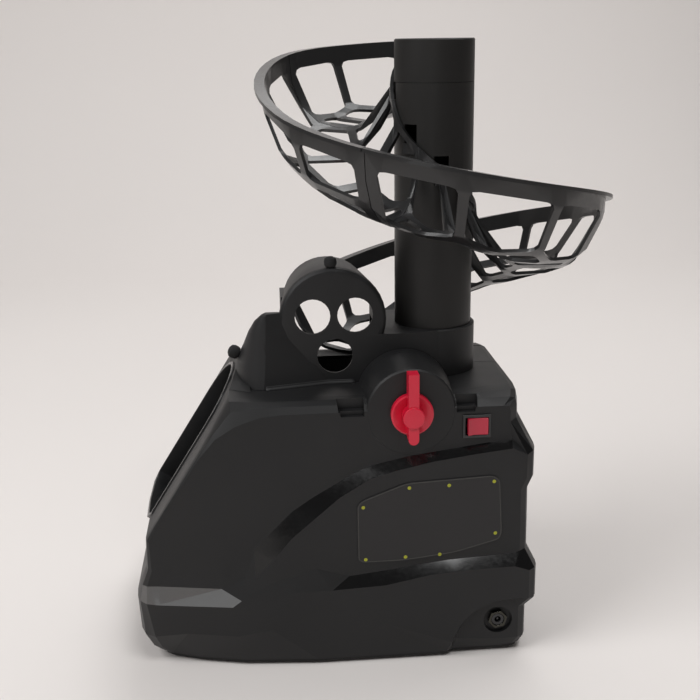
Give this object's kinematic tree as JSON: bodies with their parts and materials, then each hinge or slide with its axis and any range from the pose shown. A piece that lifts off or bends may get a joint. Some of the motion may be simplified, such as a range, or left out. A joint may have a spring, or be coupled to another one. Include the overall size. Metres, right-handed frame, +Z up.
{
  "type": "baseball toss machine",
  "caption": "Black moulded toss machine that drops baseballs from a spiral feed rail onto a sprung arm and lobs them out of an arched mouth.",
  "frame": {"origin": "middle of the footprint's bounding box, on the floor under the feet", "axes": "-X is the way the ball is thrown, +Z is up, -Y is the side with the dial and the label"},
  "size_m": [0.4344, 0.314, 0.54],
  "materials": {
    "matte_abs": "textured moulded ABS",
    "tower_abs": "fine textured moulded ABS",
    "column_abs": "extruded ABS tube, matte",
    "cap_abs": "textured moulded ABS cap",
    "rail_pp": "satin moulded polypropylene",
    "bezel_abs": "polished moulded ABS",
    "base_abs": "moulded ABS, matte",
    "rubber": "moulded rubber",
    "red_abs": "self-coloured red ABS, satin",
    "switch_black": "moulded nylon, semi gloss",
    "label_vinyl": "printed vinyl film",
    "nickel": "nickel plate",
    "steel": "ground steel",
    "zinc_steel": "zinc plated steel",
    "acetal": "moulded acetal",
    "bronze": "sintered bronze",
    "grey_abs": "moulded glass-filled plastic",
    "cell_wrap": "printed film sleeve",
    "board": "solder-masked glass laminate"
  },
  "bodies": {
    "housing": {"arm_bush_far": "bronze", "arm_bush_near": "bronze", "ball_chute": "grey_abs", "base_plate": "base_abs", "battery_1": "cell_wrap", "battery_2": "cell_wrap", "battery_3": "cell_wrap", "battery_4": "cell_wrap", "battery_box": "grey_abs", "bumper_front": "rubber", "bumper_top": "rubber", "casing_far": "matte_abs", "casing_near": "matte_abs", "circuit_board": "board", "column": "column_abs", "column_cap": "cap_abs", "contact_far": "nickel", "contact_near": "nickel", "foot_1": "rubber", "foot_2": "rubber", "foot_3": "rubber", "foot_4": "rubber", "frame_far": "grey_abs", "frame_near": "grey_abs", "gear_plate": "grey_abs", "inlet_nut": "nickel", "label_plate": "label_vinyl", "motor": "zinc_steel", "mouth_bezel": "bezel_abs", "power_inlet": "bezel_abs", "rail_1": "rail_pp", "rail_2": "rail_pp", "rail_3": "rail_pp", "rail_4": "rail_pp", "rail_5": "rail_pp", "rest_bar": "zinc_steel", "rest_buffer": "rubber", "selector_switch": "switch_black", "spring_anchor": "zinc_steel", "stop_bar": "zinc_steel", "stop_buffer": "rubber", "switch_bezel": "switch_black", "throw_spring": "steel", "tower_cover": "tower_abs"},
    "throwing_arm": {"throw_arm": "acetal", "ball_pad": "rubber", "arm_shaft": "steel", "sector_gear": "acetal", "spring_lever": "zinc_steel"},
    "drive_train": {"drive_shaft": "steel", "drive_pinion": "acetal", "drive_wheel": "acetal"},
    "motor_rotor": {"motor_pinion": "bronze", "motor_shaft": "steel"},
    "gate": {"feed_gate": "acetal"},
    "dial": {"dial_knob": "red_abs", "dial_shaft": "steel"},
    "power_rocker": {"rocker": "red_abs"},
    "battery_lid": {"battery_door": "matte_abs"}
  },
  "joints": [
    {"name": "arm_swing", "type": "hinge", "parent": "housing", "child": "throwing_arm", "pos_m": [-0.1315, 0, 0.06], "axis": [0, -1, 0], "range_deg": [0, 50], "deforming": ["throw_spring"]},
    {"name": "drive_spin", "type": "hinge", "parent": "housing", "child": "drive_train", "pos_m": [-0.07571, 0, 0.05512], "axis": [0, -1, 0], "range_deg": [-126, 1]},
    {"name": "motor_spin", "type": "hinge", "parent": "housing", "child": "motor_rotor", "pos_m": [-0.03343, 0, 0.03973], "axis": [0, -1, 0], "range_deg": [-4, 504]},
    {"name": "gate_swing", "type": "hinge", "parent": "housing", "child": "gate", "pos_m": [0.0063, 0, 0.238], "axis": [0, -1, 0], "range_deg": [-60, 0]},
    {"name": "dial_turn", "type": "hinge", "parent": "housing", "child": "dial", "pos_m": [0.025, -0.098, 0.233], "axis": [0, -1, 0], "range_deg": [-60, 60]},
    {"name": "rocker_tilt", "type": "hinge", "parent": "housing", "child": "power_rocker", "pos_m": [0.0817, -0.0935, 0.2185], "axis": [0, 0, 1], "range_deg": [-14, 0]},
    {"name": "lid_hinge", "type": "hinge", "parent": "housing", "child": "battery_lid", "pos_m": [0.1306, 0.032, 0.112], "axis": [0, 1, 0], "range_deg": [0, 80]}
  ],
  "couplings": [
    {"joint": "drive_spin", "follows": "arm_swing", "ratio": -2.5},
    {"joint": "motor_spin", "follows": "arm_swing", "ratio": 10},
    {"joint": "gate_swing", "follows": "arm_swing", "ratio": -1.2}
  ]
}
